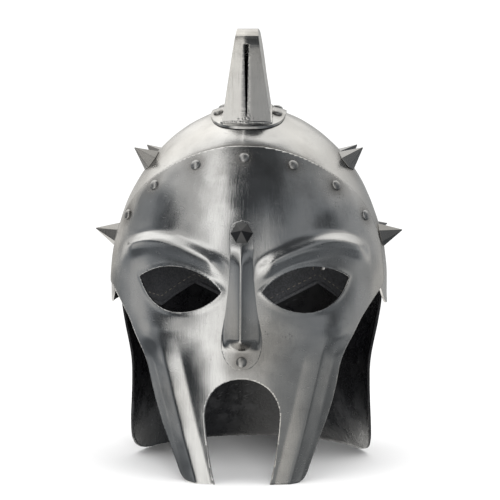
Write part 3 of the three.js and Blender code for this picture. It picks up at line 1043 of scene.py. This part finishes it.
def makeStitches():
    ends = []
    step = liner["stitchGap"] / bowl["height"]
    half = liner["stitchLength"] / bowl["height"] / 2
    for seam in liner["seams"]:
        angle = radians(seam)
        last = float(arcDownTo(linerRim(np.array(angle)))) - 0.05
        for arc in np.arange(0.5, last, step):
            aside = liner["rows"] / halfWidthAt(arc)
            for side in (-aside, aside):
                ends.append([innerStitch(angle + side, arc + end) for end in (-half, half)])
    for angle in np.radians(np.arange(0, 360, 2.7)):
        turns = [np.array(angle + end) for end in (-liner["hemHalf"], liner["hemHalf"])]
        ends.append([innerStitch(turn, arcDownTo(linerRim(turn)) - liner["hem"]) for turn in turns])
    run = threadRun(ends)
    run.name = "linerStitches"
    dress(run, "thread")
    return run


def addCord(name, path, radii, cyclic, sides=2):
    # a round cord or bead along the path, with its own radius at each point
    curve = bpy.data.curves.new(name, "CURVE")
    curve.dimensions = "3D"
    curve.bevel_depth = 1
    curve.bevel_resolution = sides
    curve.use_fill_caps = not cyclic
    spline = curve.splines.new("POLY")
    spline.points.add(len(path) - 1)
    spline.points.foreach_set("co", np.column_stack([path, np.ones(len(path))]).ravel())
    spline.points.foreach_set("radius", radii)
    spline.use_cyclic_u = cyclic
    only(addObject(name, curve))
    bpy.ops.object.convert(target="MESH")
    cord = bpy.context.object
    cord.name = name
    bpy.ops.object.shade_smooth()
    faceOut(cord)
    return cord


def makeBinding():
    angles = np.radians(np.arange(0, 360, 1.25))
    arc = arcDownTo(linerRim(angles))
    path = arcPoint(guardForm, angles, arc, linerGrow - liner["leather"] / 2)
    radii = np.full(len(path), liner["binding"])
    binding = addCord("linerBinding", path, radii, True, 3)
    dress(binding, "leather")
    return binding


# Comb crest: a folded sheet with leaning flat sides, welded on a foot that is riveted to the bowl

comb = {
    "height": 0.060,
    "front": 0.046,
    "tailInset": 0.016,
    "footHalf": 0.019,
    "topHalf": 0.008,
    "flange": 0.010,
    "root": 0.012,
    "tailShare": 0.6,
    "step": 0.0028,
    "bend": 0.0014,  # the folds' outer radius
    "edge": 0.0004,
    "seam": (0.0006, 0.0017),  # half widths of the open seam at its foot and top
    "seamEnds": (0.006, 0.012, 0.006),  # how far above the foot and below the top it ends, and its depth
    "ragged": 0.0004,  # how far the burnt edges of the seam wander at its foot
    "prow": 0.2,  # how steeply its front is folded
    "prowFades": (0.004, 0.022),  # how far behind its front the fold starts and ends to fade
    "sheet": 0.0015,
    "cell": 0.003,
    "finish": ("steel", "inner"),
}
combRear = bowl["rear"] - comb["tailInset"]
combTop = widest + bowl["height"] + comb["height"]
combGrow = gaps["sheet"] + bowl["sheet"]


def domeTop(x, y, grow):
    lengthwise = np.where(y < 0, bowl["front"], bowl["rear"]) + grow
    share = (x / (bowl["side"] + grow)) ** 2 + (y / lengthwise) ** 2
    return widest + (bowl["height"] + grow) * np.sqrt(unit(1 - share))


def combHalfAt(y, level):
    foot = domeTop(0, -comb["front"], 0)
    rise = unit((level - foot) / (combTop - foot))
    narrowing = mixed(1, comb["tailShare"], unit(y / combRear))
    return mixed(comb["footHalf"], comb["topHalf"], rise) * narrowing


def combFootAt(y):
    return combHalfAt(y, domeTop(0, y, 0))


def combProfile(inset):
    front, rear, top = -comb["front"] + inset, combRear - inset, combTop - inset
    tail = float(domeTop(0, combRear, 0)) - inset
    root = tail - comb["root"]
    bulge = 0.35 * comb["height"]
    strokes = [
        [(front, top - bulge)],
        [(front, top - 0.4 * bulge), (front + 0.4 * bulge, top), (front + bulge, top)],
        [(0.38 * rear, top), (0.86 * rear, mixed(root, top, 0.66)), (rear, tail)],
        [(rear - comb["root"], root)],
    ]
    return drawn((front, root), strokes, comb["step"])


def prowAt(x, half, y):
    # its front is folded along the seam; the fold dies away behind
    return comb["prow"] * (half - np.abs(x)) * (1 - smooth(y + comb["front"], *comb["prowFades"]))


def combBody(inset):
    # its sides are shaped upright, then lean in as they are set to the comb's width at each place
    profile = combProfile(inset)
    mean = comb["footHalf"] - inset
    body = addPrism(np.column_stack([np.full(len(profile), -mean), profile]), (2 * mean, 0, 0))
    editAll(body)
    low, high = profile.min(axis=0), profile.max(axis=0)
    for axis in (0, 1):
        cutAcross((0, 1 - axis, axis), np.arange(low[axis] + comb["step"] / 2, high[axis], comb["step"]))
    cutAcross((1, 0, 0), np.multiply((-0.6, -0.3, 0, 0.3, 0.6), mean))
    faceOut(body)
    if inset == 0:
        roundEdges(body, comb["bend"], 4, 60)
    side, y, level = getPoints(body).T
    half = combHalfAt(y, level) - inset
    x = side / mean * half
    setPoints(body, np.column_stack([x, y - prowAt(x, half, y) + middleY, level]))
    return body


def addDomeBody(grow):
    # the bowl as a full body, nearly flat below its widest line
    body = addBall(180, 120)
    x, y, z = getPoints(body).T
    lengthwise = np.where(y < 0, bowl["front"], bowl["rear"]) + grow
    height = np.where(z > 0, bowl["height"] + grow, 0.02)
    setPoints(body, places((bowl["side"] + grow) * x, lengthwise * y + middleY, widest + height * z))
    return body


def flangeOutline():
    half = comb["footHalf"] + comb["flange"]
    front = -comb["front"] - 0.8 * comb["flange"]
    rear = 0.8 * combRear
    tail = float(combFootAt(rear)) + comb["flange"]
    strokes = [
        [(half, front), (half, half - comb["front"])],
        [(half, 0.35 * rear), (tail, rear - tail)],
        [(tail, rear + 0.6 * tail), (0, rear + 0.6 * tail)],
    ]
    return mirroredOutline(drawn((0, front), strokes, comb["cell"]))


def onBowl(x, y, grow):
    # a point that rides on the bowl's waves
    base = places(x, y + middleY, domeTop(x, y, 0)).reshape(-1, 3)
    waves = hammered(base, bowl["waves"]).reshape(np.shape(x))
    return places(x, y + middleY, domeTop(x, y, grow + waves))


def flangePlace(x, y, depth):
    return onBowl(x, y, combGrow - depth)


def addSlit():
    # the open seam down the front fold
    bpy.ops.mesh.primitive_cube_add(size=2)
    slit = bpy.context.object
    editAll(slit)
    cutAcross((0, 0, 1), np.arange(-0.96, 1, 0.04))
    objectMode()
    side, depth, rise = getPoints(slit).T
    share = (rise + 1) / 2
    burnt = noiseAt(np.column_stack([9 * side, 3.1 * side, 26 * share]))
    half = mixed(*comb["seam"], share) + comb["ragged"] * burnt * (1 - smooth(share, 0.2, 0.45))
    above, below, deep = comb["seamEnds"]
    level = mixed(float(domeTop(0, -comb["front"], 0)) + above, combTop - below, share)
    setPoints(slit, np.column_stack([side * half, middleY - comb["front"] + depth * deep, level]))
    return slit


def makeComb():
    piece = combBody(0)
    piece.name = "combCrest"
    combineCurved(piece, combBody(comb["sheet"]), "DIFFERENCE")
    combineCurved(piece, addSlit(), "DIFFERENCE")
    combineCurved(piece, addDomeBody(gaps["sheet"] + comb["sheet"] / 2), "DIFFERENCE")
    flange = addSheet("combFlange", flangeOutline(), [], comb["sheet"], flangePlace, comb)
    combineCurved(flange, combBody(comb["sheet"] / 2), "DIFFERENCE")
    combineCurved(piece, flange, "UNION")
    dress(piece, *comb["finish"])
    return piece


def combFoot(y, side):
    half = float(combHalfAt(y, float(domeTop(combFootAt(y), y, combGrow))))
    return onBowl(np.array([side * half]), y, combGrow)[0]


weld = {
    "radius": 0.0011,
    "ripple": 0.0003,
    "uneven": 0.0004,
    "pitch": 0.0021,
    "step": 0.0006,
    "tail": 0.96,
    # spatter at the seam's foot: across, above the foot, and radius
    "drops": (
        (-0.0018, 0.0016, 0.0013),
        (0.0012, 0.0011, 0.0015),
        (0.0022, 0.0036, 0.0009),
        (-0.0012, 0.0047, 0.0008),
        (0.0015, 0.0074, 0.0007),
        (0.0052, 0.0021, 0.0008),
        (-0.0061, 0.0014, 0.0007),
        (0.0086, 0.0013, 0.0006),
    ),
}


def beadRadii(path):
    steps = np.linalg.norm(np.diff(path, axis=0), axis=1)
    along = np.concatenate([[0], np.cumsum(steps)])
    ripple = np.abs(np.sin(pi * along / weld["pitch"]))
    uneven = noiseAt(Vector(point) * 260 for point in path)
    return weld["radius"] + weld["ripple"] * (ripple - 0.5) + weld["uneven"] * uneven


def makeWelds():
    ys = np.arange(-comb["front"] + 0.0006, weld["tail"] * combRear - 0.012, weld["step"])
    left = [combFoot(y, 1) for y in ys]
    right = [combFoot(y, -1) for y in ys]
    half = left[0][0]
    x = half * np.arange(-0.97, 0.98, 0.032)
    front = onBowl(x, -comb["front"] - prowAt(x, half, -comb["front"]) - 0.0002, combGrow)
    path = np.array([*right[::-1], *front, *left])
    bead = addCord("combWeld", path, beadRadii(path), False)
    foot = float(domeTop(0, -comb["front"], combGrow))
    drops = []
    for across, above, radius in weld["drops"]:
        drop = addBall(20, 14, radius)
        flat = getPoints(drop) * (1.25, 0.6, 1)
        uneven = noiseAt(Vector(point) * 700 + Vector((across, above, 0)) * 3000 for point in flat)
        y = middleY - comb["front"] - float(prowAt(across, half, -comb["front"]))
        setPoints(drop, flat * (1 + 0.35 * uneven[:, None]) + (across, y, foot + above))
        bpy.ops.object.shade_smooth()
        drops.append(drop)
    join(bead, drops)
    dress(bead, "steel")
    return bead


# Fasteners: each kind is made once, then set on its seats

stud = {"radius": 0.009, "height": 0.017, "clearance": 0.016, "edge": 0.00045}
browStud = {"radius": 0.0084, "height": 0.0075, "edge": 0.00045}
rivet = {"radius": 0.004, "height": 0.0022, "inset": 0.009, "tail": 0.0013, "edge": 0.0002}
nut = {"radius": 0.0046, "height": 0.0016}
shank = {"radius": 0.0023, "tailGap": 0.0012, "skirt": 0.0006}
templeTurn = mask["halfSpan"] / bowl["side"]


def seatOn(place, across, level, stack):
    step = 0.0004

    def at(aside, up):
        return Vector(place(np.array([across + aside]), np.array([level + up]), 0)[0])

    along = at(step, 0) - at(-step, 0)
    upward = at(0, step) - at(0, -step)
    return {"at": at(0, 0), "out": along.cross(upward).normalized(), "stack": stack}


def skullPlace(across, level, depth):
    return ovalPoint(skullForm, across / bowl["side"], level, bowlWaves(across, level) - depth)


def studSeats():
    turn = (pi - templeTurn - (stud["clearance"] + stud["radius"]) / bowl["side"]) / 3
    rings = [(0.29, 1, (-3, -2, -1, 0, 1, 2, 3)), (0.7, 1.06, (-3, -2, -1, 1, 2, 3))]
    for rise, spread, slots in rings:
        for slot in slots:
            across = (pi + slot * spread * turn) * bowl["side"]
            yield seatOn(skullPlace, across, widest + rise * bowl["height"], bowl["sheet"])


def maskSeats():
    stack = 2 * mask["sheet"] + gaps["sheet"]
    for turn in np.radians([-72, -48, -24, 0, 24, 48, 72]):
        across = (mask["halfSpan"] - rivet["inset"]) * sin(turn)
        rise = (mask["rise"] - mask["templeRise"] - rivet["inset"]) * cos(turn)
        yield seatOn(maskPlace, across, widest + mask["templeRise"] + rise, stack)


def guardSeats():
    stack = bowl["sheet"] + gaps["guard"] + guard["sheet"] + gaps["sheet"] + liner["leather"] + liner["sag"]
    for share in (-0.84, -0.42, 0, 0.42, 0.84):
        across = pi * bowl["side"] + share * guard["halfAngle"] * bowl["side"]
        yield seatOn(skullPlace, across, widest + guard["overlap"] / 2, stack)


def combSeats():
    for y in (-0.55 * comb["front"], 0.14 * combRear, 0.5 * combRear):
        for side in (-1, 1):
            x = side * (float(combFootAt(y)) + 0.5 * comb["flange"])
            yield seatOn(flangePlace, x, y, 2 * bowl["sheet"] + gaps["sheet"])


noseStack = nose["sheet"] + gaps["sheet"] + mask["sheet"]
seats = {
    "skull_stud": [*studSeats()],
    "mask_rivet": [*maskSeats()],
    "guard_rivet": [*guardSeats()],
    "comb_rivet": [*combSeats()],
    "brow_stud": [seatOn(nosePlace, 0, noseLevel(0.085), noseStack + gaps["sheet"] + bowl["sheet"])],
    "nasal_rivet": [seatOn(nosePlace, 0, noseLevel(0.945), noseStack)],
}


# how far dirt and painted contact shade reach round studs, round other heads, and from the mask's edge
dirtAndShade = {"studReach": 0.0145, "reach": 0.0075, "edgeReach": 0.0016}


def storeGrimeAndShade(piece):
    # dirt and painted contact shade gather round every head that stands on a sheet, and on the bowl along
    # the mask's edge
    points = getPoints(piece)
    grimeAndShade = np.zeros(len(points))
    for kind, group in seats.items():
        reach = dirtAndShade["studReach" if kind == "skull_stud" else "reach"]
        for seat in group:
            away = np.linalg.norm(points - np.array(seat["at"]), axis=1)
            grimeAndShade = np.maximum(grimeAndShade, bump(away / reach))
    if piece.name == "bowl":
        angle = np.arctan2(points[:, 0] / bowl["side"], (middleY - points[:, 1]) / bowl["front"])
        flat = np.column_stack([angle * bowl["side"], points[:, 2]])
        near = (np.abs(flat[:, 0]) < 0.15) & (flat[:, 1] > widest)
        edge = bump(distanceTo(flat[near], maskOutline()) / dirtAndShade["edgeReach"])
        grimeAndShade[near] = np.maximum(grimeAndShade[near], edge)
    layer = piece.data.attributes.new("grimeAndShade", "FLOAT", "POINT")
    layer.data.foreach_set("value", np.asarray(grimeAndShade, dtype=np.float32))


def addTurned(outline, columns, turn):
    # a ball whose rings are moved onto the outline, from its top to its bottom
    rings = len(outline) - 1
    piece = addBall(columns, rings)
    x, y, z = getPoints(piece).T
    ring = np.rint(np.arccos(np.clip(z, -1, 1)) / pi * rings).astype(int)
    radius, height = np.array(outline)[ring].T
    angle = np.arctan2(y, x) + turn
    setPoints(piece, np.column_stack([radius * np.cos(angle), radius * np.sin(angle), height]))
    faceOut(piece)
    return piece


def addFastener(crown, tail, stack, columns, turn, rounding):
    # its tail is measured from the inside of the sheets that it holds
    inside = -(gaps["head"] + stack + shank["tailGap"])
    outline = [*crown, (shank["radius"], -shank["skirt"]), (shank["radius"], inside)]
    outline += [(radius, inside - down) for radius, down in tail]
    piece = addTurned(outline, columns, turn)
    roundEdges(piece, *rounding)
    return polished(piece)


def pyramidStud(size, stack):
    r, h = size["radius"], size["height"]
    crown = [(0, h), (0.05 * r, 0.965 * h), (r, 0), (r, -shank["skirt"])]
    tail = [(nut["radius"], 0), (nut["radius"], nut["height"]), (0, nut["height"])]
    return addFastener(crown, tail, stack, 6, radians(30), (size["edge"], 3, 22))


def domedRivet(size, stack):
    r, h = size["radius"], size["height"]
    dome = [(r * sin(t), h * cos(t)) for t in np.radians([14, 28, 42, 56, 70, 82, 90])]
    crown = [(0, h), *dome, (0.97 * r, -shank["skirt"])]
    tail = [(0.9 * r, 0), (0.6 * r, 0.8 * size["tail"]), (0, size["tail"])]
    return addFastener(crown, tail, stack, 28, 0, (size["edge"], 2, 40))


def setFasteners(kind, shaped, size, finish):
    group = seats[kind]
    template = shaped(size, group[0]["stack"])
    for number, seat in enumerate(group, 1):
        piece = copyOf(template)
        node = f"{kind}_{number:02d}" if len(group) > 1 else kind
        piece.name = node + ".fine"
        turn = Vector((0, 0, 1)).rotation_difference(seat["out"]).to_matrix().to_4x4()
        piece.data.transform(Matrix.Translation(seat["at"] + seat["out"] * gaps["head"]) @ turn)
        dress(piece, finish)
        yield piece, node
    bpy.data.objects.remove(template)


# The assembly


def stand(piece, slot, *nodes):
    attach(piece, "root")
    if nodes:
        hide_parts(*nodes)


def assemble():
    for make, slot, *nodes in (
        (makeSkull, "polished_steel", "skull"),
        (makeMask, "polished_steel", "face_mask"),
        (makeNose, "polished_steel", "nasal"),
        (makeComb, "polished_steel", "comb"),
        (makeGuard, "black_paint", "neck_guard"),
        (makeLiner, "black_leather", "liner"),
        (makeWelds, "polished_steel"),
        (makeBinding, "black_leather"),
        (makeStitches, "black_leather"),
    ):
        piece = make()
        if nodes:
            storeGrimeAndShade(polished(piece))
        stand(piece, slot, *nodes)
        print(piece.name, len(piece.data.polygons))
    for kind, shaped, size, finish, slot in (
        ("skull_stud", pyramidStud, stud, "dark", "dark_steel"),
        ("brow_stud", pyramidStud, browStud, "blackened", "dark_steel"),
        ("mask_rivet", domedRivet, rivet, "rivets", "polished_steel"),
        ("comb_rivet", domedRivet, rivet, "rivets", "polished_steel"),
        ("guard_rivet", domedRivet, rivet, "rivets", "polished_steel"),
        ("nasal_rivet", domedRivet, rivet, "rivets", "polished_steel"),
    ):
        for piece, node in setFasteners(kind, shaped, size, finish):
            stand(piece, slot, node)
    print("fasteners set")


assemble()


# Studio: a pale floor, a white sky, two softboxes, and a room that only reflections show

studio = {
    "floor": (0.93, 0.93, 0.93, 1),
    "floorRadius": 0.6,
    "distance": 2.0,
    "azimuth": 3.0,
    "elevation": 4.5,
    "aim": (0, 0, 0.167),
    "lens": 183.4,
    # name, place, width and depth, and watts; both face the place that is named lit
    "softboxes": (
        ("overhead", (0, -0.5, 1.7), (1.2, 0.9), 9),
        ("fill", (0.25, -1.6, 0.35), (0.3, 0.3), 14),
    ),
    "lit": (0, 0, 0.15),
    "white": 1.12,  # lights the floor evenly
    # the room that the steel mirrors: its dark front, the walls behind it, the ceiling there and the floor
    "front": 0.06,
    "leftWall": 0.72,
    "rightWall": 0.42,
    "ceiling": 0.75,
    "ground": 0.08,
    "flanks": 0.26,  # the room at both sides of the helmet
    "lean": 1.55,  # how steeply its dark front ends overhead
    "turn": (1.1, 1.2),  # where its front turns into its walls
    "clutter": 0.7,  # how unevenly the room is lit
    "warm": (1.0, 0.985, 0.95, 1),
    "cool": (0.88, 0.94, 1.0, 1),
    # screens in its front: left and right edge, brightness, and lowest and highest rise
    "screens": (
        (-1.10, -0.92, 0.2, -0.7, 0.45),
        (-0.80, -0.52, 0.52, -0.1, 1.2),
        (-0.68, -0.52, 0.52, -1.2, 0.25),
        (-0.54, -0.24, 1.15, -1.2, 1.2),
        (-0.26, 0.06, 0.95, -1.2, 0.25),
        (0.06, 0.22, 0.42, -1.2, 0.65),
        (0.20, 0.36, 0.50, -0.5, 0.85),
        (0.36, 0.50, 0.22, -0.5, 0.7),
        (0.48, 0.86, 0.2, -0.6, 1.2),
        (0.92, 1.10, 0.1, -0.7, 0.45),
    ),
}


def makeFloor():
    bpy.ops.mesh.primitive_circle_add(vertices=96, radius=studio["floorRadius"], fill_type="NGON")
    floor = bpy.context.object
    floor.name = "floor"
    material, f = newFinish("paleFloor")
    shade = f.mix(f.cloud(f.place(), 3, 2, 0.5) * 0.1, studio["floor"], (0.9, 0.9, 0.9, 1))
    f.surface({"Base Color": shade, "Roughness": 0.9, "Specular IOR Level": 0.0})
    floor.data.materials.append(material)
    floor.visible_glossy = False


def makeSky():
    # what is mirrored is a room: screens in its dark front, and bright walls and a ceiling behind them
    world = bpy.data.worlds.new("studioSky")
    world.use_nodes = True
    bpy.context.scene.world = world
    f = Finish(world.node_tree)
    way = f.read("Generated", "TexCoord")
    x, y, z = f.apart(way)
    glow = studio["front"] + f.step(z, -0.2, -0.6) * studio["ground"]
    glow = glow + f.step(y, -0.1, 0.25) * f.step(z, -0.45, -0.15) * studio["flanks"]
    for left, right, strength, lowest, highest in studio["screens"]:
        screen = f.step(x, left - 0.02, left + 0.02) * f.step(x, right + 0.02, right - 0.02)
        span = f.step(z, lowest, lowest + 0.2) * f.step(z, highest, highest - 0.4)
        glow = glow + screen * span * strength
    wall = studio["leftWall"] + f.step(x, -0.3, 0.3) * (studio["rightWall"] - studio["leftWall"])
    wall = wall + f.step(z, 0.1, 0.6) * studio["ceiling"]
    glow = glow + f.step(y * studio["lean"] + z, *studio["turn"]) * (wall - glow)
    glow = glow * (1 + (f.cloud(way, 2.4, 3, 0.55) - 0.5) * studio["clutter"] * 2)
    mirrored = f.read("Is Glossy Ray", "LightPath")
    strength = studio["white"] + mirrored * (glow - studio["white"])
    tint = f.mix(mirrored, (1, 1, 1, 1), f.mix(f.step(glow, 0.1, 0.6), studio["cool"], studio["warm"]))
    sky = f.node("Background", Color=tint, Strength=strength)
    end = f.node("OutputWorld")
    world.node_tree.links.new(sky.outputs["Background"], end.inputs["Surface"])


def addSoftbox(name, at, size, power):
    # no reflection shows it
    light = bpy.data.lights.new(name, "AREA")
    light.shape = "RECTANGLE"
    light.size, light.size_y = size
    light.energy = power
    box = addObject(name, light)
    aim(box, at, Vector(at) - Vector(studio["lit"]))
    box.visible_glossy = False


def makeCamera():
    data = bpy.data.cameras.new("camera")
    camera = addObject("camera", data)
    a, e = radians(studio["azimuth"]), radians(studio["elevation"])
    back = Vector((sin(a) * cos(e), -cos(a) * cos(e), sin(e)))
    aim(camera, Vector(studio["aim"]) + back * studio["distance"], back)
    data.lens = studio["lens"]
    data.clip_end = 200
    bpy.context.scene.camera = camera


makeFloor()
makeSky()
for softbox in studio["softboxes"]:
    addSoftbox(*softbox)
makeCamera()
bpy.context.scene.view_settings.view_transform = "Standard"
print("studio ready")
